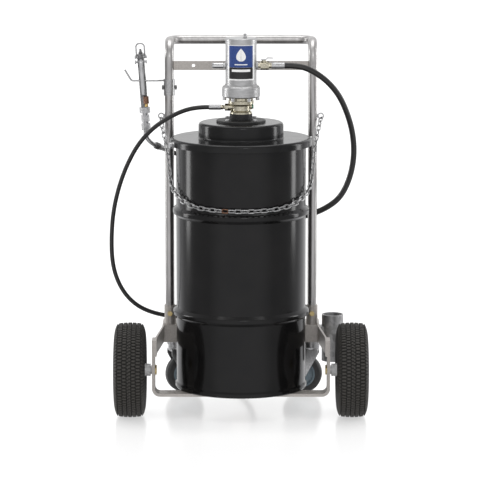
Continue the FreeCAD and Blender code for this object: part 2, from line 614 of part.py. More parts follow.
def make_pump_mount():
    """Flange, collar and the fluid outlet body that stand on the cover."""
    disc = revolved("flange_blank", [("down_radius + 0.15", "cap_top"), ("flange_radius", "cap_top"),
                                     ("flange_radius", "flange_top - 1.5"), ("flange_radius - 2", "flange_top"),
                                     ("down_radius + 0.15", "flange_top")], (0, "drum_y", 0))
    drills = [cylinder("flange_drill%d" % number, 3.2, 20, tuple(flange_bolt_spot(number)) + ("cap_top - 5",))
              for number in range(4)]
    keep(cut("mount_flange", disc, drills))
    pump_screws.extend(bolt("flange_bolt%d" % number, 10, 5, 3, 12,
                            tuple(flange_bolt_spot(number)) + ("flange_top",), "-Z") for number in range(4))
    keep(revolved("packing_collar", [("down_radius + 0.15", "flange_top"), ("collar_radius", "flange_top"),
                                     ("collar_radius", "collar_top"), ("down_radius + 0.15", "collar_top")],
                  (0, "drum_y", 0)))
    stack = revolved("outlet_stack", [
        (0, "collar_top"), (30, "collar_top"), (30, "collar_top + 4"), (25, "collar_top + 9"),
        (25, "outlet_top - 24"), (35, "outlet_top - 18"), (35, "outlet_top - 10"), (33, "outlet_top - 9"),
        (33, "outlet_top"), (0, "outlet_top")], (0, "drum_y", 0))
    left = cylinder("outlet_boss", 10, 36, (0, "drum_y", "outlet_z - 3"), "-X")
    right = cylinder("plug_boss", 8, 30, (0, "drum_y", "outlet_z - 1.5"), "X")
    bore = cylinder("outlet_bore", "rod_bore", 80, (0, "drum_y", "collar_top - 10"))
    notches = []
    for number in range(6):
        notch = box("castle_notch%d" % number, (29, -3.5, "outlet_top - 9"), (40, 3.5, "outlet_top"))
        turn = Rotation(Vector(0, 0, 1), 60 * number + 30)
        notch.Placement = Placement(Vector(0, size("drum_y"), 0), turn).multiply(notch.Placement)
        notches.append(notch)
    keep(cut("outlet_body", fuse("outlet_solid", [stack, left, right]), [bore] + notches))
    keep(hexagon("outlet_plug", 10, 4, (30, "drum_y", "outlet_z - 1.5"), "X"))
    nut = hexagon("outlet_nut", 17, 8, (-36, "drum_y", "outlet_z - 3"), "-X")
    neck = revolved("outlet_neck", [(0, 8), (6, 8), (5, 11), (6.5, 14), (6.5, 19), (0, 19)],
                    (-36, "drum_y", "outlet_z - 3"), "-X")
    keep(fuse("outlet_fitting", [nut, neck]))


def make_down_tube():
    """Down tube with its slotted foot, from the outlet body to just above the drum's floor."""
    tube = revolved("down_tube_pipe", [("down_bore", "down_low"), ("down_radius", "down_low"),
                                       ("down_radius", "collar_top"), ("down_bore", "collar_top")],
                    (0, "drum_y", 0))
    foot = revolved("foot_blank", [(9, "foot_low"), ("down_radius", "foot_low"), ("down_radius", "down_low"),
                                   (9, "down_low")], (0, "drum_y", 0))
    slots = [box("foot_slot_x", (-30, "drum_y - 4", "foot_low"), (30, "drum_y + 4", "foot_low + 8")),
             box("foot_slot_y", (-4, "drum_y - 30", "foot_low"), (4, "drum_y + 30", "foot_low + 8"))]
    keep(fuse("down_tube", [tube, cut("intake_foot", foot, slots)]))


def make_air_motor():
    """Air motor: flared base, cylinder with an inlet and an exhaust boss, and cap."""
    base = revolved("motor_base", [
        ("rod_bore", "outlet_top"), ("flare_radius - 3", "outlet_top"), ("flare_radius", "outlet_top + 3"),
        ("flare_radius", "outlet_top + 24"), ("flare_radius - 1.5", "outlet_top + 28"),
        ("flare_radius - 4.5", "outlet_top + 31"), ("motor_radius + 2", "outlet_top + 33"),
        ("motor_radius", "flare_top"),
        ("motor_bore", "flare_top"), ("motor_bore", "motor_floor"), ("rod_bore", "motor_floor")], (0, "drum_y", 0))
    keep(base)
    for number in range(6):
        angle = math.radians(60 * number)
        spot = (size("flare_radius - 7") * math.cos(angle),
                size("drum_y") + size("flare_radius - 7") * math.sin(angle), "outlet_top - 9")
        pump_screws.append(hexagon("motor_screw%d" % number, 9, 9, spot))
    keep(group("pump_screws", pump_screws))
    wall = cylinder("motor_wall", "motor_radius", "motor_top - flare_top", (0, "drum_y", "flare_top"))
    inlet = cylinder("inlet_boss", 10, "motor_radius + 3.7", (0, "drum_y", "inlet_z"), "X")
    exhaust = cylinder("exhaust_boss", 9, "motor_radius + 2", (0, "drum_y", "inlet_z"), "-X")
    inside = cylinder("motor_inside", "motor_bore", 200, (0, "drum_y", "flare_top - 20"))
    keep(cut("motor_cylinder", fuse("motor_solid", [wall, inlet, exhaust]), [inside]))
    cap = revolved("motor_lid", [(0, "motor_top - 6"), ("motor_bore - 0.1", "motor_top - 6"),
                                 ("motor_bore - 0.1", "motor_top"), ("motor_radius + 0.6", "motor_top"),
                                 ("motor_radius + 0.6", "motor_crown"), (0, "motor_crown")], (0, "drum_y", 0))
    round_edges(cap, ring_at(("motor_radius + 0.6", "motor_crown")), 5)
    stud = revolved("cap_stud", [(0, -1), (6, -1), (6, 5), (4.5, 6), (4.5, 12), (0, 13)],
                    (11, "drum_y - 12", "motor_crown"))
    keep(fuse("motor_cap", [cap, stud]))
    sleeve = cylinder("label_sleeve", "motor_radius + 0.5", 95, (0, "drum_y", 915))
    inner = cylinder("label_inner", "motor_radius + 0.05", 110, (0, "drum_y", 910))
    window = box("label_window", (-35, "drum_y - 60", 910), (35, "drum_y", 1015))
    label = doc.addObject("Part::Common", "label_plate")
    label.Base = cut("label_skin", sleeve, [inner])
    label.Tool = window
    keep(label)


def make_piston():
    """Air piston, rod and fluid piston, which move up and down as one."""
    foot = 130
    keep(revolved("pump_piston", [
        (0, foot), ("down_bore - 0.05", foot), ("down_bore - 0.05", foot + 24), ("rod_radius", foot + 24),
        ("rod_radius", "motor_floor + 0.3"), ("motor_bore - 0.05", "motor_floor + 0.3"),
        ("motor_bore - 0.05", "motor_floor + 14"), (0, "motor_floor + 14")], (0, "drum_y", 0)))


def make_air_inlet():
    """Ball valve with a lever on the motor's right, and the exhaust muffler on its left."""
    start = size("motor_radius + 3.7")
    nipple = cylinder("valve_nipple", 6.5, 8, (start, "drum_y", "inlet_z"), "X")
    block = hexagon("valve_block", 21, 22, (start + 7, "drum_y", "inlet_z"), "X")
    tail = cylinder("valve_tail", 8, 9, (start + 28, "drum_y", "inlet_z"), "X")
    gland = cylinder("valve_gland", 6, 6, (start + 16, "drum_y", "inlet_z + 9"))
    drill = cylinder("valve_drill", 3.06, 20, (start + 16, "drum_y", "inlet_z + 3"))
    keep(cut("air_valve_body", fuse("valve_solid", [nipple, block, tail, gland]), [drill]))
    stem = cylinder("lever_stem", 3, 14, (start + 16, "drum_y", "inlet_z + 4"))
    blade = padded("lever_blade", "XZ_Plane", [(-8, 0), (6, 0), (10, 4), (25, 4), (25, 6.5), (9, 6.5), (5, 2.5), (-8, 2.5)],
                   9, (start + 16, "drum_y", "inlet_z + 15.5"))
    keep(fuse("air_valve_lever", [stem, blade]))
    muffler = revolved("muffler", [(0, 0), (6, 0), (6, 3), (8, 4), (8, 30), (6.5, 34), (0, 36)],
                       ("-motor_radius - 2", "drum_y", "inlet_z"), "-X")
    keep(muffler)


# ---- hook, gun and chain ---------------------------------------------------

def make_hook():
    """Wire hook on a bracket that wraps the left leg's front and is held by one bolt through the leg."""
    shell = cylinder("clamp_shell", "tube_radius + clamp_skin", "clamp_high - clamp_low",
                     ("-leg_x", "leg_y", "clamp_low"))
    bore = cylinder("clamp_bore", "tube_radius", 80, ("-leg_x", "leg_y", "clamp_low - 10"))
    drill = cylinder("clamp_drill", "clamp_hole", 60, ("-leg_x - 30", "leg_y", "clamp_bolt_z"), "X")
    bracket = doc.addObject("Part::Common", "hook_clamp")
    bracket.Base = cut("clamp_open", shell, [bore, drill])
    bracket.Tool = box("clamp_front", ("-leg_x - 40", "leg_y - 40", "clamp_low - 5"),
                       ("-leg_x + 40", "leg_y + 6", "clamp_high + 5"))
    keep(bracket)
    frame_bolts.append(bolt("clamp_bolt", 11, 5, 3, "2 * (tube_radius + clamp_skin) + 6",
                            ("-leg_x - tube_radius - clamp_skin", "leg_y", "clamp_bolt_z"), "X",
                            "2 * (tube_radius + clamp_skin)", 5))
    keep(swept("hook_rod", [("-leg_x - 13.5", "leg_y - 2", "hook_z"), (-231, 96, "hook_z"), (-302, 96, "hook_z"),
                            (-320, 96, "hook_z + 30")], "hook_wire", fixed_radius(8)))


def make_gun():
    """Control gun hung on the hook by the gap behind its lever."""
    hang = Placement(Vector(-262, 104, 756), Rotation(Vector(0, 1, 0), -4))
    grip = padded("gun_grip", "YZ_Plane", [
        (-4, 66), (14, 66), (18, 80), (18, 150), (22, 172), (22, 200), (16, 214), (-6, 214), (-20, 206),
        (-22, 188), (-12, 176), (-12, 152), (-4.5, 141), (-4.5, 100)], 18)
    slot = box("gun_slot", (-7, -26, 176), (7, -9, 216))
    holes = [cylinder("gun_pin_hole", 3.05, 60, (-30, -15, 194), "X"),
             cylinder("gun_bail_hole", 2.6, 60, (-30, 2, 206), "X")]
    outlet = cylinder("gun_outlet", 9, 18, (0, 20, 190), "Y")
    gun = [cut("gun_body", fuse("gun_solid", [grip, outlet]), [slot] + holes)]
    pin = cylinder("gun_pin_shank", 3, 34, (-17, -15, 194), "X")
    heads = [hexagon("gun_pin_head", 10, 4, (-17, -15, 194), "X"), hexagon("gun_pin_nut", 10, 4, (13, -15, 194), "X")]
    gun.append(fuse("gun_lever_pin", [pin] + heads))
    blade = padded("gun_blade", "YZ_Plane", [
        (-19, 190), (-11, 186), (-10, 202), (-20, 202), (-23, 190), (-24, 172), (-22, 120), (-26, 104), (-24, 102),
        (-18.5, 120), (-20, 172)], 12)
    lever_hole = cylinder("gun_lever_hole", 3.06, 60, (-30, -15, 194), "X")
    gun.append(cut("gun_lever", blade, [lever_hole]))
    nut = hexagon("gun_nut", 26, 16, (0, 5, 50))
    swivel = fuse("gun_swivel", [nut, cylinder("gun_nut_neck", 9, 66, (0, 5, 0)),
                                      hexagon("gun_swivel_low", 22, 18, (0, 5, 3)),
                                      hexagon("gun_swivel_high", 20, 18, (0, 5, 26))])
    strainer = revolved("strainer_cup", [(0, 0), (4.5, 0), (4.5, 7), (7.5, 9), (7.5, 28), (0, 28)], (6.5, -13, 69))
    neck = cylinder("strainer_neck", 4, 8.6, (5, -13, 88), "Y")
    gun.append(group("gun_inlet", [swivel, fuse("gun_strainer", [strainer, neck])]))
    loop = swept("gun_bail_loop", [(-11.6, 2, 202), (-11.6, 2, 243), (11.6, 2, 243), (11.6, 2, 202)], 2.2,
                 fixed_radius(10))
    gun.append(fuse("gun_bail", [loop, cylinder("gun_bail_bolt", 2.5, 34, (-17, 2, 206), "X"),
                                 hexagon("gun_bail_head", 9, 3, (-17, 2, 206), "X"),
                                 hexagon("gun_bail_nut", 9, 3, (14, 2, 206), "X")]))
    for made in gun:
        made.Placement = hang.multiply(made.Placement)
        keep(made)


def make_chain():
    """Welded chain from eye to eye round the drum's front, alternate links turned a quarter."""
    eyes = []
    for side, sign in SIDES:
        across = "%d * (leg_x + 22.5)" % sign
        plate = cylinder("eye_plate_" + side, 9, "eye_thick", (across, "leg_y - eye_thick / 2", "eye_z"), "Y")
        hole = cylinder("eye_hole_" + side, 5.5, "2 * eye_thick", (across, "leg_y - eye_thick", "eye_z"), "Y")
        ends = sorted((sign * size("leg_x + tube_radius - 0.2"), sign * size("leg_x + tube_radius + 4")))
        stub = box("eye_stub_" + side, (ends[0], "leg_y - eye_thick / 2", "eye_z - 5"),
                   (ends[1], "leg_y + eye_thick / 2", "eye_z + 5"))
        eyes.append(cut("chain_eye_" + side, fuse("eye_solid_" + side, [plate, stub]), [hole]))
    keep(group("chain_eyes", eyes))
    route = [(-221.5, 102, 792), (-215, 70, 762), (-203, 30, 716), (-196, -3, 672), (-190, -45, 632), (-172, -103, 606),
             (-145, -150, 590), (-85, -198, 581), (0, -218, 579), (85, -198, 581), (142, -152, 590),
             (172, -103, 606), (190, -45, 632), (197, -3, 678), (204, 30, 730), (214, 67, 770), (221.5, 102, 793)]
    line = Part.BSplineCurve()
    line.interpolate([Vector(*spot) for spot in route])
    count = int(line.length() / size("chain_pitch"))
    length = size("chain_length")
    width = size("chain_width")
    wire = size("chain_wire")
    bend = (width - 2 * wire) / 2
    flat = (length - width) / 2
    corners = [Vector(-flat, bend, 0), Vector(flat, bend, 0), Vector(flat, -bend, 0), Vector(-flat, -bend, 0)]
    stadium = Part.Wire([
        Part.LineSegment(corners[0], corners[1]).toShape(),
        Part.Arc(corners[1], Vector(flat + bend, 0, 0), corners[2]).toShape(),
        Part.LineSegment(corners[2], corners[3]).toShape(),
        Part.Arc(corners[3], Vector(-flat - bend, 0, 0), corners[0]).toShape()])
    circle = Part.Circle(corners[0], Vector(1, 0, 0), wire)
    link = stadium.makePipeShell([Part.Wire([circle.toShape()])], True, False)
    links = []
    for number in range(count):
        distance = (number + 0.5) * line.length() / count
        here = line.parameterAtDistance(distance)
        ahead = Vector(*line.tangent(here)[0])
        spot = line.value(here)
        outward = Vector(spot.x, spot.y - size("drum_y"), 0)
        flat_turn = Rotation(ahead, Vector(0, 0, 0), outward, "XZY")
        spin = Rotation(Vector(1, 0, 0), 45 if number % 2 else -45)
        links.append(link.transformed(Placement(spot, flat_turn.multiply(spin)).toMatrix()))
    chain = doc.addObject("Part::Feature", "chain")
    chain.Shape = Part.makeCompound(links)
    print("chain: length %.0f, %d links" % (line.length(), count))
    keep(chain)


# ---- hoses -----------------------------------------------------------------

# The delivery hose: out to the left over the chain's eye, down in front of the left
# leg, back behind it, along the crossmember and up behind the drum to the gun.
GREASE_ROUTE = [
    (-87, -31, 838), (-125, -31, 838), (-178, -8, 818), (-236, 35, 778), (-280, 62, 730), (-313, 82, 670),
    (-338, 94, 604), (-355, 102, 532), (-361, 106, 455), (-359, 109, 385), (-344, 112, 330), (-316, 116, 284),
    (-277, 122, 252), (-222, 132, 232), (-160, 150, 223), (-100, 169, 221), (-38, 180, 222), (25, 184, 230),
    (82, 184, 258), (122, 182, 306), (140, 181, 368), (136, 180, 434), (112, 180, 496), (70, 180, 548),
    (18, 180, 588), (-38, 179, 620), (-92, 176, 646), (-138, 168, 667), (-172, 157, 682), (-196, 143, 694)]
GUN_FERRULE = (-220, 129, 706)
ELBOW_ROUTE = [GUN_FERRULE, (-245, 114.5, 718.5), (-262, 109, 738), (-262.1, 108.8, 755.3)]

# The supply hose: out to the right, down in front of the right leg, back behind it
# and down behind the drum to the floor, where its plug lies.
AIR_ROUTE = [
    (118, -31, 951), (158, -31, 951), (196, -30, 936), (234, -14, 908), (268, 14, 866), (292, 46, 812), (309, 80, 752),
    (314, 104, 686), (303, 118, 622), (278, 126, 568), (242, 133, 538), (202, 146, 518), (166, 172, 504),
    (130, 196, 480), (100, 207, 444), (78, 210, 400), (62, 210, 350), (50, 208, 298), (44, 206, 246),
    (43, 206.5, 192), (43, 206, 140), (42, 207, 93), (28, 215, 54), (3, 231, 24.5), (-30, 252, 8.4),
    (-66, 268, 8.3), (-104, 276, 8.3)]

def between(name, radius, start, end):
    """A straight round piece from one point to another."""
    ahead = point(end) - point(start)
    made = cylinder(name, radius, ahead.Length, (0, 0, 0))
    made.Placement = Placement(point(start), Rotation(Vector(0, 0, 1), ahead))
    return made


def make_grease_hose():
    """Delivery hose from the outlet body to the gun."""
    ferrules.append(between("grease_ferrule_pump", "grease_ferrule", (-55, "drum_y", "outlet_z - 3"),
                            (-87, "drum_y", "outlet_z - 3")))
    keep(swept("grease_hose", GREASE_ROUTE, "grease_hose_radius", hose_radius))
    ferrules.append(between("grease_ferrule_gun", "grease_ferrule", GREASE_ROUTE[-1], GUN_FERRULE))
    keep(swept("gun_swivel_elbow", ELBOW_ROUTE, 6, fixed_radius(9)))


def make_air_hose():
    """Air supply hose from the ball valve down behind the cart to its plug on the floor."""
    start = size("motor_radius + 3.7") + 37
    ferrules.append(between("air_ferrule_motor", "air_ferrule", (start, "drum_y", "inlet_z"), (118, "drum_y", "inlet_z")))
    keep(swept("air_hose", AIR_ROUTE, "air_hose_radius", hose_radius))
    end = point(AIR_ROUTE[-1])
    ahead = end - point(AIR_ROUTE[-2])
    plug = revolved("air_plug", [(0, 0), (8, 0), (8, 22), (6.5, 24), (6.5, 30), (5, 31), (5, 36), (6, 38), (6, 42),
                                 (4, 48), (0, 48)])
    plug.Placement = Placement(end, Rotation(Vector(0, 0, 1), ahead))
    keep(plug)


# ---- the whole object ------------------------------------------------------

make_base_strap()
make_rear_strap()
make_side_arms()
make_rear_crossmember()
make_handle()
make_flat_crossbar()
make_pump_holder()
make_road_wheels()
make_casters()
make_drum()
make_cover()
make_follower()
make_pump_mount()
make_down_tube()
make_air_motor()
make_piston()
make_air_inlet()
make_hook()
make_gun()
make_chain()
make_grease_hose()
make_air_hose()
keep(group("hose_ferrules", ferrules))
keep(group("frame_bolts", frame_bolts))

doc.recompute()
for made in doc.Objects:
    if "Invalid" in made.State or "Error" in made.State:
        raise RuntimeError("%s failed: %s" % (made.Name, made.State))
for made in nodes:
    if made.Shape.isNull() or not made.Shape.isValid():
        raise RuntimeError("%s has no valid shape" % made.Label)
os.makedirs("parts", exist_ok=True)
for made in nodes:
    made.Shape.exportStep("parts/%s.step" % made.Label)
    print("%-22s %d solid(s) %10.0f mm3" % (made.Label, len(made.Shape.Solids), made.Shape.Volume))
print("%d nodes" % len(nodes))
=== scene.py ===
"""Looks of the drum pump cart: camera, hoses, materials and the detailed pieces that stand for CAD nodes."""
import math

import bmesh
import bpy
from mathutils import Matrix, Vector


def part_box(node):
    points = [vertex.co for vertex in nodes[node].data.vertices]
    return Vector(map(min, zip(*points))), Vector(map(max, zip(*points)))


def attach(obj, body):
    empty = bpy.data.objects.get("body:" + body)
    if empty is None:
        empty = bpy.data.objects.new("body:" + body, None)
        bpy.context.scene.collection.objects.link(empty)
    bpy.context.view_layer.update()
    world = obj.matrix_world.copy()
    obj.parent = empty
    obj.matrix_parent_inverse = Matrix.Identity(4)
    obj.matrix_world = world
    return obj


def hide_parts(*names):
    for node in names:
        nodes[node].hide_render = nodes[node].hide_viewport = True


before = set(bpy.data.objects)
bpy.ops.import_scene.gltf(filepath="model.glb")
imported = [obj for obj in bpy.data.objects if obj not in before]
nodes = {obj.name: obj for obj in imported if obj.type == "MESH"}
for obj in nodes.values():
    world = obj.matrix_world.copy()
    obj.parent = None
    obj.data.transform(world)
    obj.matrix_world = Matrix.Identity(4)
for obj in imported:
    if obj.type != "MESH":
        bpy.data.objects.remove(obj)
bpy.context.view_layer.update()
scene = bpy.context.scene
scene.view_settings.view_transform = "Standard"


# ---- camera ----------------------------------------------------------------

lens = bpy.data.cameras.new("camera")
lens.lens = 219.11
lens.sensor_width = 36
lens.shift_x = -1 / 480
lens.clip_end = 200
camera = bpy.data.objects.new("camera", lens)
camera.location = (0, -7.923, 1.760)
camera.rotation_euler = (math.radians(90 - 9.268), 0, 0)
scene.collection.objects.link(camera)
scene.camera = camera


# ---- mesh helpers ----------------------------------------------------------

SHARP_EDGE = math.radians(38)
TREAD_SHARP_EDGE = math.radians(28)


def piece(name, vertices, faces, body, material):
    """A mesh object in the shared frame that rides on a CAD body."""
    mesh = bpy.data.meshes.new(name)
    mesh.from_pydata([tuple(v) for v in vertices], [], faces)
    mesh.validate()
    mesh.materials.append(material)
    mesh.shade_smooth()
    mesh.set_sharp_from_angle(angle=SHARP_EDGE)
    made = bpy.data.objects.new(name, mesh)
    scene.collection.objects.link(made)
    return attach(made, body)


def grid_faces(rows, columns, close_columns=True):
    """Quads of a rows by columns grid of vertices."""
    faces = []
    for r in range(rows - 1):
        this, following = r * columns, (r + 1) * columns
        for c in range(columns if close_columns else columns - 1):
            beside = (c + 1) % columns
            faces.append((this + c, this + beside, following + beside, following + c))
    return faces


def along(start, end):
    """A matrix at start whose Z points to end."""
    ahead = Vector(end) - Vector(start)
    return Matrix.Translation(start) @ ahead.to_track_quat("Z", "Y").to_matrix().to_4x4()


def spline_points(route):
    """The smooth line of a route given in metres as control points."""
    curve = bpy.data.curves.new("route", "CURVE")
    curve.dimensions = "3D"
    curve.resolution_u = 12
    spline = curve.splines.new("NURBS")
    spline.points.add(len(route) - 1)
    for spot, control in zip(route, spline.points):
        control.co = (*spot, 1)
    spline.order_u = 3
    spline.use_endpoint_u = True
    holder = bpy.data.objects.new("route", curve)
    mesh = bpy.data.meshes.new_from_object(holder)
    points = [v.co.copy() for v in mesh.vertices]
    bpy.data.objects.remove(holder)
    return points


def tube_vertices(path, radius, sides):
    """Rings of vertices round a line, turned as little as possible from one to the next."""
    side = (path[1] - path[0]).orthogonal().normalized()
    vertices = []
    for k, spot in enumerate(path):
        ahead = (path[min(k + 1, len(path) - 1)] - path[max(k - 1, 0)]).normalized()
        side = (side - ahead * side.dot(ahead)).normalized()
        other = ahead.cross(side)
        for c in range(sides):
            a = 2 * math.pi * c / sides
            vertices.append(spot + radius * (side * math.cos(a) + other * math.sin(a)))
    return vertices


def end_faces(rows, sides):
    """The two faces that close a tube of rings."""
    last = (rows - 1) * sides
    return [tuple(reversed(range(sides))), tuple(range(last, last + sides))]


HOSE_SIDES = 20
UV_LENGTH = 0.05        # metres of hose to one unit of its UVs


def hose(name, route, radius, material):
    """A round hose along a route, with its own length and girth as UVs."""
    path = spline_points(route)
    lengths = [0.0]
    for before, spot in zip(path, path[1:]):
        lengths.append(lengths[-1] + (spot - before).length)
    faces = grid_faces(len(path), HOSE_SIDES) + end_faces(len(path), HOSE_SIDES)
    made = piece(name, tube_vertices(path, radius, HOSE_SIDES), faces, "cart", material)
    corners = made.data.loops
    uv = made.data.uv_layers.new(name="girth")
    for face in made.data.polygons:
        at_seam = any(corners[i].vertex_index % HOSE_SIDES == HOSE_SIDES - 1 for i in face.loop_indices)
        for loop in face.loop_indices:
            row, column = divmod(corners[loop].vertex_index, HOSE_SIDES)
            turn = 1.0 if column == 0 and at_seam else column / HOSE_SIDES
            uv.data[loop].uv = (turn, lengths[row] / UV_LENGTH)
    return made, path


# ---- procedural materials --------------------------------------------------

NOISE_DETAIL = 4
WAVE_DISTORTION = 0.4
RAMP_LOW, RAMP_HIGH = 0.32, 0.68        # where the pattern is all dark and all light
BUMP_DISTANCE = 0.001


def surface(name, dark, light, metallic, rough, scale,
            stretch=(1, 1, 1), bump=0.05, specular=0.5, pattern="noise", uv=False):
    """A material whose colour, roughness and bump all follow a procedural pattern."""
    made = bpy.data.materials.new(name)
    made.use_nodes = True
    tree = made.node_tree
    shader = tree.nodes["Principled BSDF"]
    shader.inputs["Metallic"].default_value = metallic
    shader.inputs["Specular IOR Level"].default_value = specular
    where = tree.nodes.new("ShaderNodeTexCoord")
    mapping = tree.nodes.new("ShaderNodeMapping")
    mapping.inputs["Scale"].default_value = stretch
    tree.links.new(where.outputs["UV" if uv else "Object"], mapping.inputs["Vector"])
    if pattern == "cells":
        texture = tree.nodes.new("ShaderNodeTexVoronoi")
        texture.inputs["Scale"].default_value = scale
        value = texture.outputs["Color"]
    elif pattern == "wave":
        texture = tree.nodes.new("ShaderNodeTexWave")
        texture.inputs["Scale"].default_value = scale
        texture.inputs["Distortion"].default_value = WAVE_DISTORTION
        value = texture.outputs["Fac"]
    else:
        texture = tree.nodes.new("ShaderNodeTexNoise")
        texture.inputs["Scale"].default_value = scale
        texture.inputs["Detail"].default_value = NOISE_DETAIL
        value = texture.outputs["Fac"]
    tree.links.new(mapping.outputs["Vector"], texture.inputs["Vector"])
    ramp = tree.nodes.new("ShaderNodeValToRGB")
    ramp.color_ramp.elements[0].position = RAMP_LOW
    ramp.color_ramp.elements[1].position = RAMP_HIGH
    ramp.color_ramp.elements[0].color = (*dark, 1)
    ramp.color_ramp.elements[1].color = (*light, 1)
    tree.links.new(value, ramp.inputs["Fac"])
    tree.links.new(ramp.outputs["Color"], shader.inputs["Base Color"])
    spread = tree.nodes.new("ShaderNodeMapRange")
    spread.inputs["To Min"].default_value = rough[0]
    spread.inputs["To Max"].default_value = rough[1]
    tree.links.new(value, spread.inputs["Value"])
    tree.links.new(spread.outputs["Result"], shader.inputs["Roughness"])
    relief = tree.nodes.new("ShaderNodeBump")
    relief.inputs["Strength"].default_value = bump
    relief.inputs["Distance"].default_value = BUMP_DISTANCE
    tree.links.new(value, relief.inputs["Height"])
    tree.links.new(relief.outputs["Normal"], shader.inputs["Normal"])
    return made


def grey(value, warm=0.0):
    """A grey with a touch of warmth."""
    return (value * (1 + warm), value, value * (1 - warm))


MATERIALS = {
    "cart_paint": surface("cart_paint", grey(0.34, 0.07), grey(0.50, 0.06), 0.5, (0.34, 0.5), 420,
                          bump=0.12),
    "bright_tube": surface("bright_tube", grey(0.44, 0.02), grey(0.56, 0.02), 1.0, (0.3, 0.38), 25,
                           stretch=(3, 3, 0.5), bump=0.01),
    "zinc": surface("zinc", grey(0.34), grey(0.60), 1.0, (0.24, 0.42), 300, bump=0.06),
    "yellow_zinc": surface("yellow_zinc", (0.42, 0.30, 0.12), (0.62, 0.52, 0.28), 1.0, (0.22, 0.4), 260,
                           bump=0.1),
    "galvanised": surface("galvanised", grey(0.38), grey(0.52), 0.9, (0.35, 0.6), 110,
                          bump=0.06, pattern="cells"),
    "rim_paint": surface("rim_paint", grey(0.50), grey(0.64), 0.2, (0.3, 0.45), 180, bump=0.05),
    "tyre_rubber": surface("tyre_rubber", (0.011, 0.0105, 0.010), (0.026, 0.024, 0.021), 0.0, (0.6, 0.85),
                           340, bump=0.35),
    "tyre_lugs": surface("tyre_lugs", (0.024, 0.022, 0.019), (0.044, 0.040, 0.034), 0.0, (0.5, 0.75), 420,
                         bump=0.3),
    "caster_rubber": surface("caster_rubber", grey(0.014), grey(0.032), 0.0, (0.42, 0.6), 260, bump=0.2),
    "caster_disc": surface("caster_disc", (0.10, 0.14, 0.17), (0.17, 0.22, 0.25), 0.0, (0.35, 0.5), 240,
                           bump=0.1),
    "drum_black": surface("drum_black", (0.0035, 0.0034, 0.0036), (0.0062, 0.0058, 0.0058), 0.0, (0.12, 0.2),
                          14, bump=0.02, specular=0.3),
    "lid_black": surface("lid_black", (0.004, 0.004, 0.0042), (0.007, 0.007, 0.0072), 0.0, (0.14, 0.22), 26,
                         bump=0.02, specular=0.3),
    "black_metal": surface("black_metal", grey(0.010), grey(0.022), 0.2, (0.38, 0.55), 300, bump=0.2),
    "nickel": surface("nickel", (0.42, 0.39, 0.30), (0.66, 0.62, 0.50), 1.0, (0.16, 0.32), 220, bump=0.12),
    "motor_silver": surface("motor_silver", grey(0.42), grey(0.52), 0.85, (0.34, 0.42), 60,
                            stretch=(1, 1, 5), bump=0.02),
    "label": surface("label_white", grey(0.72), grey(0.84), 0.0, (0.3, 0.42), 300, bump=0.02),
    "green_plastic": surface("green_plastic", (0.0, 0.13, 0.07), (0.01, 0.24, 0.13), 0.0, (0.3, 0.42), 300),
    "hose_rubber": surface("hose_rubber", (0.009, 0.009, 0.009), (0.020, 0.019, 0.018), 0.0, (0.3, 0.45), 1.0,
                           stretch=(2, 14, 1), bump=0.2, pattern="wave", uv=True),
    "chrome": surface("chrome", grey(0.52), grey(0.66), 1.0, (0.08, 0.18), 40, bump=0.01),
    "gun_metal": surface("gun_metal", grey(0.12), grey(0.28), 1.0, (0.2, 0.34), 160, bump=0.1),
    "dark_steel": surface("dark_steel", grey(0.10), grey(0.24), 1.0, (0.28, 0.42), 240, bump=0.1),
    "copper": surface("copper", (0.14, 0.07, 0.045), (0.33, 0.19, 0.13), 0.9, (0.3, 0.5), 300, bump=0.25),
    "brass": surface("brass", (0.55, 0.36, 0.12), (0.80, 0.60, 0.28), 1.0, (0.15, 0.3), 200, bump=0.05),
    "steel": surface("steel", grey(0.36), grey(0.56), 1.0, (0.24, 0.4), 150, stretch=(1, 1, 6), bump=0.06),
    "gasket_rubber": surface("gasket_rubber", grey(0.008), grey(0.018), 0.0, (0.5, 0.7), 240, bump=0.1),
    "label_blue": surface("label_blue", (0.010, 0.035, 0.16), (0.018, 0.055, 0.23), 0.0, (0.28, 0.4), 260,
                          bump=0.02),
    "label_black": surface("label_black", grey(0.006), grey(0.013), 0.0, (0.28, 0.4), 260, bump=0.02),
}

NODE_FINISH = {
    "cart_paint": ("base_strap", "rear_strap", "side_arms", "rear_crossmember", "caster_pads", "leg_sockets",
                   "flat_crossbar"),
    "bright_tube": ("handle_tube",),
    "galvanised": ("pump_holder_pipe",),
    "rim_paint": ("rim_left", "rim_right"),
    "steel": ("wheel_bearings_left", "wheel_bearings_right", "down_tube", "pump_piston", "follower_plate"),
    "yellow_zinc": ("axle_bolts", "frame_bolts"),
    "tyre_rubber": ("tyre_left", "tyre_right"),
    "caster_rubber": ("caster_tyre_left", "caster_tyre_right"),
    "caster_disc": ("caster_core_left", "caster_core_right"),
    "zinc": ("caster_fork_left", "caster_fork_right", "caster_plates", "chain", "chain_eyes", "hook_rod",
             "hook_clamp", "lid_screws", "pump_screws", "gun_bail", "hose_ferrules", "gun_lever_pin",
             "gun_inlet", "gun_swivel_elbow"),
    "drum_black": ("drum_shell",),
    "lid_black": ("drum_lid",),
    "black_metal": ("mount_flange", "packing_collar"),
    "gasket_rubber": ("lid_gasket", "follower_wiper"),
    "nickel": ("outlet_body", "outlet_fitting", "air_plug", "air_valve_body"),
    "green_plastic": ("outlet_plug",),
    "motor_silver": ("motor_base", "motor_cylinder", "motor_cap"),
    "label": ("label_plate",),
    "chrome": ("gun_lever", "muffler", "air_valve_lever"),
    "gun_metal": ("gun_body",),
    "hose_rubber": ("grease_hose", "air_hose"),
}
for finish, names in NODE_FINISH.items():
    for node in names:
        mesh = nodes[node].data
        mesh.materials.clear()
        mesh.materials.append(MATERIALS[finish])


# ---- hoses -----------------------------------------------------------------

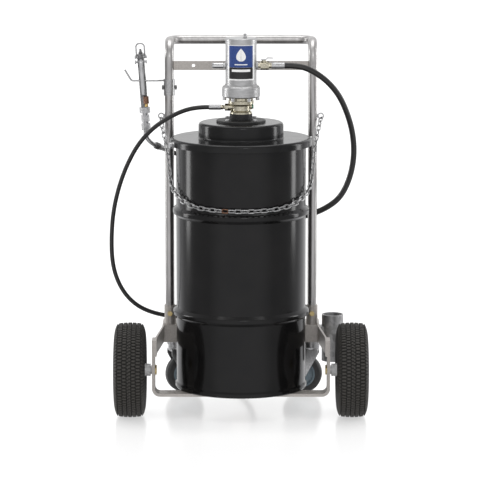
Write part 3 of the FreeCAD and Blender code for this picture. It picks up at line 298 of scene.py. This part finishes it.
GREASE_ROUTE = [
    (-0.087, -0.031, 0.838), (-0.125, -0.031, 0.838), (-0.178, -0.008, 0.818), (-0.236, 0.035, 0.778),
    (-0.280, 0.062, 0.730), (-0.313, 0.082, 0.670), (-0.338, 0.094, 0.604), (-0.355, 0.102, 0.532),
    (-0.361, 0.106, 0.455), (-0.359, 0.109, 0.385), (-0.344, 0.112, 0.330), (-0.316, 0.116, 0.284),
    (-0.277, 0.122, 0.252), (-0.222, 0.132, 0.232), (-0.160, 0.150, 0.223), (-0.100, 0.169, 0.221),
    (-0.038, 0.180, 0.222), (0.025, 0.184, 0.230), (0.082, 0.184, 0.258), (0.122, 0.182, 0.306),
    (0.140, 0.181, 0.368), (0.136, 0.180, 0.434), (0.112, 0.180, 0.496), (0.070, 0.180, 0.548),
    (0.018, 0.180, 0.588), (-0.038, 0.179, 0.620), (-0.092, 0.176, 0.646), (-0.138, 0.168, 0.667),
    (-0.172, 0.157, 0.682), (-0.196, 0.143, 0.694)]
AIR_ROUTE = [
    (0.118, -0.031, 0.951), (0.158, -0.031, 0.951), (0.196, -0.030, 0.936), (0.234, -0.014, 0.908),
    (0.268, 0.014, 0.866), (0.292, 0.046, 0.812), (0.309, 0.080, 0.752), (0.314, 0.104, 0.686),
    (0.303, 0.118, 0.622), (0.278, 0.126, 0.568), (0.242, 0.133, 0.538), (0.202, 0.146, 0.518),
    (0.166, 0.172, 0.504), (0.130, 0.196, 0.480), (0.100, 0.207, 0.444), (0.078, 0.210, 0.400),
    (0.062, 0.210, 0.350), (0.050, 0.208, 0.298), (0.044, 0.206, 0.246), (0.043, 0.2065, 0.192),
    (0.043, 0.206, 0.140), (0.042, 0.207, 0.093), (0.028, 0.215, 0.054), (0.003, 0.231, 0.0245),
    (-0.030, 0.252, 0.0084), (-0.066, 0.268, 0.0083), (-0.104, 0.276, 0.0083)]

grease_hose, grease_path = hose("grease_hose_cover", GREASE_ROUTE, 0.006, MATERIALS["hose_rubber"])
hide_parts("grease_hose")
air_hose, air_path = hose("air_hose_cover", AIR_ROUTE, 0.008, MATERIALS["hose_rubber"])
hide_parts("air_hose")


# ---- tyres -----------------------------------------------------------------

TYRE_PROFILE = [
    (-0.0272, 0.0535), (-0.030, 0.060), (-0.036, 0.066), (-0.0405, 0.076), (-0.043, 0.086), (-0.0429, 0.095),
    (-0.0420, 0.1030), (-0.0410, 0.1080), (-0.0400, 0.1120), (-0.0385, 0.1165), (-0.0368, 0.1205),
    (-0.0350, 0.1238), (-0.0330, 0.1255), (-0.0322, 0.1260), (-0.0306, 0.1264), (-0.0298, 0.1266),
    (-0.0250, 0.1274), (-0.0200, 0.1280), (-0.0192, 0.1281), (-0.0176, 0.1282), (-0.0168, 0.1283),
    (-0.0120, 0.1286), (-0.0078, 0.1288), (-0.0070, 0.1288), (-0.0054, 0.1289), (-0.0046, 0.1289),
    (-0.0020, 0.1290), (0.0, 0.1290)]
LUGS = 84
STEPS_PER_LUG = 6
GROOVES = (0.0062, 0.0184, 0.0314)      # where the tread's rows part, across the tyre
GROOVE_HALF = 0.0011
GROOVE_DEPTH = 0.0038
CUT_SHARE = 0.32                        # how much of a lug's pitch its cut takes
ROW_CUTS = ((0.0026, 0.0), (0.0036, 0.5), (0.0038, 0.0), (0.0040, 0.5))     # each row's cut depth and stagger
SIDE_STAGGER = 1 / 3
TREAD_RADIUS = 0.107                    # the cuts start outside this radius
LUG_RADIUS = 0.110


def tread_depth(across, turn):
    """How deep the tread is cut at a place across the tyre and round it, in metres."""
    reach = abs(across)
    if any(abs(reach - g) < GROOVE_HALF for g in GROOVES):
        return GROOVE_DEPTH
    depth, shift = ROW_CUTS[sum(reach > g for g in GROOVES)]
    if across > 0:
        shift += SIDE_STAGGER
    return depth if (turn * LUGS + shift) % 1 < CUT_SHARE else 0.0


def make_tyre(side, sign):
    """A tyre with a centre rib and staggered lugs on both sides of it."""
    profile = TYRE_PROFILE + [(-x, r) for x, r in reversed(TYRE_PROFILE[:-1])]
    centre = sum(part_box("tyre_" + side), Vector()) / 2
    segments = LUGS * STEPS_PER_LUG
    vertices = []
    for across, radius in profile:
        for k in range(segments):
            turn = k / segments
            r = radius - (tread_depth(across, turn) if radius > TREAD_RADIUS else 0)
            a = 2 * math.pi * turn
            vertices.append(centre + Vector((sign * across, r * math.sin(a), r * math.cos(a))))
    faces = grid_faces(len(profile), segments)
    if sign < 0:
        faces = [tuple(reversed(f)) for f in faces]
    made = piece("tyre_tread_" + side, vertices, faces, "wheel_" + side, MATERIALS["tyre_rubber"])
    made.data.set_sharp_from_angle(angle=TREAD_SHARP_EDGE)
    made.data.materials.append(MATERIALS["tyre_lugs"])
    for face in made.data.polygons:
        row, step = divmod(face.index, segments)
        across = (profile[row][0] + profile[row + 1][0]) / 2
        raised = profile[row][1] > LUG_RADIUS and tread_depth(across, (step + 0.5) / segments) == 0
        face.material_index = int(raised)
    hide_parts("tyre_" + side)


make_tyre("left", -1)
make_tyre("right", 1)


# ---- label on the air motor ------------------------------------------------

MOTOR_AXIS = Vector((0, -0.031, 0))
label_low, label_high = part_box("label_plate")
label_middle = (label_low.z + label_high.z) / 2
label_radius = MOTOR_AXIS.y - label_low.y


def wrapped(name, outline, lift, material):
    """A thin printed shape on the motor's skin; its outline is (across, up) from the label's middle."""
    mesh = bmesh.new()
    rim = [mesh.verts.new((x, 0, z)) for x, z in outline]
    face = mesh.faces.new(rim)
    bmesh.ops.triangulate(mesh, faces=[face])
    for step in range(-40, 41, 2):
        bmesh.ops.bisect_plane(mesh, geom=mesh.verts[:] + mesh.edges[:] + mesh.faces[:],
                               plane_co=(step * 0.001, 0, 0), plane_no=(1, 0, 0))
    radius = label_radius + lift
    for v in mesh.verts:
        a = v.co.x / radius
        v.co = Vector((radius * math.sin(a), MOTOR_AXIS.y - radius * math.cos(a), label_middle + v.co.z))
    bmesh.ops.recalc_face_normals(mesh, faces=mesh.faces[:])
    data = bpy.data.meshes.new(name)
    mesh.to_mesh(data)
    mesh.free()
    data.materials.append(material)
    data.shade_smooth()
    made = bpy.data.objects.new(name, data)
    scene.collection.objects.link(made)
    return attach(made, "cart")


def panel(left, right, low, high, corner=0.0015):
    """An upright rectangle with rounded corners."""
    spots = []
    for cx, cz, start in ((right - corner, high - corner, 0), (left + corner, high - corner, 90),
                          (left + corner, low + corner, 180), (right - corner, low + corner, 270)):
        for k in range(5):
            a = math.radians(start + 22.5 * k)
            spots.append((cx + corner * math.cos(a), cz + corner * math.sin(a)))
    return spots


FIELD_LIFT, SIGN_LIFT = 0.00008, 0.00016
LABEL_HALF = 0.0360
FIELD_TOP = 0.0460
FIELD_LOW = -0.0440
FIELD_SPLIT = -0.0125
FIELD_GAP = 0.0002
wrapped("label_field_blue", panel(-LABEL_HALF, LABEL_HALF, FIELD_SPLIT, FIELD_TOP), FIELD_LIFT,
        MATERIALS["label_blue"])
wrapped("label_field_black", panel(-LABEL_HALF, LABEL_HALF, FIELD_LOW, FIELD_SPLIT - FIELD_GAP), FIELD_LIFT,
        MATERIALS["label_black"])
DROP_WIDE, DROP_HALF_HIGH, DROP_Z = 0.0170, 0.0175, 0.0215
DROP = [(DROP_WIDE * math.sin(math.radians(t)) * math.sin(math.radians(t / 2)),
         DROP_HALF_HIGH * math.cos(math.radians(t)) + DROP_Z) for t in range(0, 360, 10)]
wrapped("label_drop", DROP, SIGN_LIFT, MATERIALS["label"])
wrapped("label_bar_wide", panel(-0.0180, 0.0180, -0.0060, -0.0035, 0.0008), SIGN_LIFT, MATERIALS["label"])
wrapped("label_bar_low", panel(-0.0265, 0.0265, -0.0245, -0.0180, 0.0010), SIGN_LIFT, MATERIALS["label"])


# ---- details on the gun and its swivel, and recoloured bolts and chain -----

def turned(name, profile, place, body, material, sides=48, flute=0.0, flutes=0):
    """A closed turned piece; flutes cut knurling into it and six sides make a hexagon."""
    vertices = []
    for radius, height in profile:
        for k in range(sides):
            a = 2 * math.pi * k / sides
            r = radius - (flute if flutes and (k * flutes / sides) % 1 >= 0.5 else 0)
            vertices.append(place @ Vector((r * math.cos(a), r * math.sin(a), height)))
    faces = grid_faces(len(profile), sides) + end_faces(len(profile), sides)
    made = piece(name, vertices, faces, body, material)
    return made


GUN = Matrix.Translation((-0.262, 0.104, 0.756)) @ Matrix.Rotation(math.radians(-4), 4, "Y")


NECK_RADIUS = 0.0058
NECK_SIDES = 24
COUPLING = [(0.0070, 0.0), (0.0086, 0.0012), (0.0086, 0.0075), (0.0074, 0.0085)]
KNURLED_RING = [(0.0074, 0.0085), (0.0096, 0.0100), (0.0096, 0.0215), (0.0080, 0.0230)]
COLLAR = [(0.0060, -0.0145), (0.0088, -0.0135), (0.0088, -0.0030), (0.0070, -0.0012)]


def make_swivel():
    """Hose swivel under the gun: coupling, knurled ring, the bent neck and its collar."""
    foot, bend = Vector((-0.2200, 0.1290, 0.7060)), Vector((-0.2450, 0.1145, 0.7185))
    ahead = along(foot, bend)
    turned("swivel_coupling", COUPLING, ahead, "cart", MATERIALS["steel"], 36)
    turned("swivel_knurl", KNURLED_RING, ahead, "cart", MATERIALS["dark_steel"], 96, 0.0005, 24)
    neck = spline_points([foot, foot + (ahead.to_3x3() @ Vector((0, 0, 0.016))), bend,
                          Vector((-0.2570, 0.1100, 0.7300)), Vector((-0.2620, 0.1090, 0.7400)),
                          Vector((-0.2621, 0.1088, 0.7550))])
    bent = piece("swivel_neck", tube_vertices(neck, NECK_RADIUS, NECK_SIDES),
                 grid_faces(len(neck), NECK_SIDES), "cart", MATERIALS["steel"])
    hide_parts("gun_swivel_elbow")
    turned("swivel_collar", COLLAR, GUN @ Matrix.Translation((0, 0.005, 0)), "cart",
           MATERIALS["zinc"], 40)


LEVER_ROWS = [      # height, front, back, half width
    (0.2015, -0.0188, -0.0110, 0.0050), (0.1940, -0.0222, -0.0108, 0.0056),
    (0.1860, -0.0232, -0.0150, 0.0058), (0.1720, -0.0238, -0.0200, 0.0060),
    (0.1500, -0.0232, -0.0193, 0.0060), (0.1200, -0.0220, -0.0185, 0.0060),
    (0.1120, -0.0238, -0.0205, 0.0058), (0.1035, -0.0255, -0.0235, 0.0045)]
LEVER_ACROSS = [-1.0, -0.86, -0.62, -0.40, -0.18, 0.0, 0.18, 0.40, 0.62, 0.86, 1.0]
RIB_HEIGHT, RIB_WIDTH = 0.0011, 0.20
RIB_START, RIB_SPREAD = 0.25, 0.45      # how far the ribs stand from the middle, and how much they part
FACE_SINK, FACE_CROWN, BACK_CROWN = 0.0006, 0.0012, 0.0004


def make_gun_lever():
    """Chrome lever: a pressed blade whose two ribs are close under the pin and part lower down."""
    vertices, count = [], len(LEVER_ACROSS) * 2
    for n, (z, front, back, half) in enumerate(LEVER_ROWS):
        part = n / (len(LEVER_ROWS) - 1)
        for u in LEVER_ACROSS:
            ridge = RIB_HEIGHT * math.exp(-((abs(u) - RIB_START - RIB_SPREAD * part) / RIB_WIDTH) ** 2)
            vertices.append(GUN @ Vector((u * half, front + FACE_CROWN * u * u - ridge + FACE_SINK, z)))
        for u in reversed(LEVER_ACROSS):
            vertices.append(GUN @ Vector((u * half, back - BACK_CROWN * (1 - u * u), z)))
    faces = grid_faces(len(LEVER_ROWS), count) + end_faces(len(LEVER_ROWS), count)
    made = piece("gun_lever_channel", vertices, faces, "trigger", MATERIALS["chrome"])
    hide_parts("gun_lever")


GRIP_LOW, GRIP_HIGH = 0.072, 0.158
GRIP_ROWS, GRIP_COLUMNS = 40, 9
GRIP_SIDE = 0.0090                      # the gun's flat side, from its middle
GRIP_MIDDLE, GRIP_HALF = 0.0065, 0.0095
GRIP_SWELL, FINGER_RIB, ROWS_PER_RIB = 0.0009, 0.0003, 4
VALVE_STEM = [(0.0024, 0.0), (0.0034, 0.0006), (0.0034, 0.0100), (0.0024, 0.0110)]
CROWN_NUT = [(0.0035, 0.0), (0.0058, 0.0006), (0.0058, 0.0050), (0.0040, 0.0056), (0.0030, 0.0130),
             (0.0024, 0.0140)]


def make_gun_grip():
    """Black moulded strips with finger ribs on both sides of the gun, its valve stem and the nut on top."""
    for sign, name in ((-1, "gun_grip_outer"), (1, "gun_grip_inner")):
        vertices = []
        for r in range(GRIP_ROWS):
            z = GRIP_LOW + (GRIP_HIGH - GRIP_LOW) * r / (GRIP_ROWS - 1)
            for c in range(GRIP_COLUMNS):
                u = -1 + 2 * c / (GRIP_COLUMNS - 1)
                lift = GRIP_SWELL * (1 - u ** 4) * (1 - (2 * r / (GRIP_ROWS - 1) - 1) ** 8)
                if 0 < r < GRIP_ROWS - 1:
                    lift -= FINGER_RIB * (0.5 + 0.5 * math.cos(2 * math.pi * r / ROWS_PER_RIB))
                vertices.append(GUN @ Vector((sign * (GRIP_SIDE + lift), GRIP_MIDDLE + GRIP_HALF * u, z)))
        faces = grid_faces(GRIP_ROWS, GRIP_COLUMNS, close_columns=False)
        if sign < 0:
            faces = [tuple(reversed(f)) for f in faces]
        made = piece(name, vertices, faces, "cart", MATERIALS["black_metal"])
    turned("gun_valve_stem", VALVE_STEM, GUN @ Matrix.Translation((0, -0.0110, 0.1560)), "cart",
           MATERIALS["black_metal"], 32, 0.0006, 8)
    turned("gun_crown_nut", CROWN_NUT, GUN @ Matrix.Translation((0, 0.006, 0.2135)), "cart",
           MATERIALS["dark_steel"], 6)


def repaint(node, material, inside):
    """Gives the faces of a CAD node whose middle passes a test another material."""
    mesh = nodes[node].data
    mesh.materials.append(material)
    index = len(mesh.materials) - 1
    for face in mesh.polygons:
        if inside(face.center):
            face.material_index = index


make_swivel()
make_gun_lever()
make_gun_grip()

GUN_BACK = GUN.inverted()
STRAINER_NUT_LOW, STRAINER_LOW = 0.0685, 0.0775     # heights on the gun
HOOK_BOLT_Z = 0.8                                   # the frame's other bolts are below this
AXLE_OUTER_X = 0.2345                               # spacers and nuts beside the wheels are beyond this
DARK_LINK_X, DARK_LINK_HALF, CHAIN_FRONT_Y = -0.043, 0.009, -0.15
repaint("gun_inlet", MATERIALS["copper"], lambda p: (GUN_BACK @ p).z > STRAINER_LOW)
repaint("gun_inlet", MATERIALS["brass"], lambda p: STRAINER_NUT_LOW < (GUN_BACK @ p).z <= STRAINER_LOW)
repaint("frame_bolts", MATERIALS["dark_steel"], lambda p: p.z > HOOK_BOLT_Z)
repaint("axle_bolts", MATERIALS["zinc"], lambda p: abs(p.x) > AXLE_OUTER_X)
repaint("chain", MATERIALS["copper"],
        lambda p: abs(p.x - DARK_LINK_X) < DARK_LINK_HALF and p.y < CHAIN_FRONT_Y)


# ---- floor and light -------------------------------------------------------

FLOOR_HALF = 40
FLOOR_GLOW = 0.52


def make_floor():
    """A wide pale floor, partly lit from within so that the cart's shadow on it stays faint."""
    mesh = bmesh.new()
    bmesh.ops.create_grid(mesh, x_segments=4, y_segments=4, size=FLOOR_HALF)
    data = bpy.data.meshes.new("floor")
    mesh.to_mesh(data)
    mesh.free()
    paint = surface("floor_paint", grey(0.46), grey(0.50), 0.0, (0.16, 0.2), 0.4, bump=0.0)
    shader = paint.node_tree.nodes["Principled BSDF"]
    shader.inputs["Emission Color"].default_value = (1, 1, 1, 1)
    shader.inputs["Emission Strength"].default_value = FLOOR_GLOW
    data.materials.append(paint)
    floor = bpy.data.objects.new("floor", data)
    floor.visible_glossy = False
    scene.collection.objects.link(floor)


def softbox(name, where, target, width, height, watts):
    """A rectangular studio light aimed at a point."""
    light = bpy.data.lights.new(name, "AREA")
    light.shape = "RECTANGLE"
    light.size = width
    light.size_y = height
    light.energy = watts
    lamp = bpy.data.objects.new(name, light)
    lamp.location = where
    lamp.rotation_euler = (Vector(target) - Vector(where)).to_track_quat("-Z", "Y").to_euler()
    scene.collection.objects.link(lamp)


STUDIO_STRENGTH = 1.05
FRONT_GREY = (0.85, 0.85, 0.87, 1)
REFLECTED = ((0.07, 0.85), (0.13, 0.78), (0.24, 0.50), (0.50, 0.42), (0.74, 0.60), (0.88, 1.0))
REFLECTED_BLUE = 1.02


def make_world():
    """A white studio for the eye and for soft light, and one that is darker at the sides for reflections."""
    world = bpy.data.worlds.new("studio")
    world.use_nodes = True
    scene.world = world
    tree = world.node_tree
    tree.nodes["Background"].inputs["Color"].default_value = (1, 1, 1, 1)
    tree.nodes["Background"].inputs["Strength"].default_value = STUDIO_STRENGTH
    where = tree.nodes.new("ShaderNodeTexCoord")
    split = tree.nodes.new("ShaderNodeSeparateXYZ")
    ramp = tree.nodes.new("ShaderNodeValToRGB")
    span = tree.nodes.new("ShaderNodeMapRange")
    span.inputs["From Min"].default_value = -1.0
    span.inputs["From Max"].default_value = 1.0
    tree.links.new(where.outputs["Generated"], split.inputs["Vector"])
    tree.links.new(split.outputs["Y"], span.inputs["Value"])
    tree.links.new(span.outputs["Result"], ramp.inputs["Fac"])
    stops = ramp.color_ramp.elements
    stops[0].color = FRONT_GREY
    stops[1].color = (1, 1, 1, 1)
    for place, value in REFLECTED:
        stops.new(place).color = (value, value, value * REFLECTED_BLUE, 1)
    mirrored = tree.nodes.new("ShaderNodeBackground")
    tree.links.new(ramp.outputs["Color"], mirrored.inputs["Color"])
    rays = tree.nodes.new("ShaderNodeLightPath")
    either = tree.nodes.new("ShaderNodeMixShader")
    tree.links.new(rays.outputs["Is Glossy Ray"], either.inputs["Fac"])
    tree.links.new(tree.nodes["Background"].outputs["Background"], either.inputs[1])
    tree.links.new(mirrored.outputs["Background"], either.inputs[2])
    tree.links.new(either.outputs["Shader"], tree.nodes["World Output"].inputs["Surface"])


make_floor()
make_world()
softbox("key_left", (-3.4, 0.9, 1.2), (0, 0, 0.5), 0.7, 2.6, 32)
softbox("key_right", (3.4, 0.9, 1.2), (0, 0, 0.5), 0.7, 2.6, 28)
softbox("top", (0, 0.4, 3.8), (0, 0, 0.4), 3.0, 2.0, 40)
softbox("front", (0.7, -6.0, 3.8), (0, 0, 0.5), 1.2, 1.2, 22)
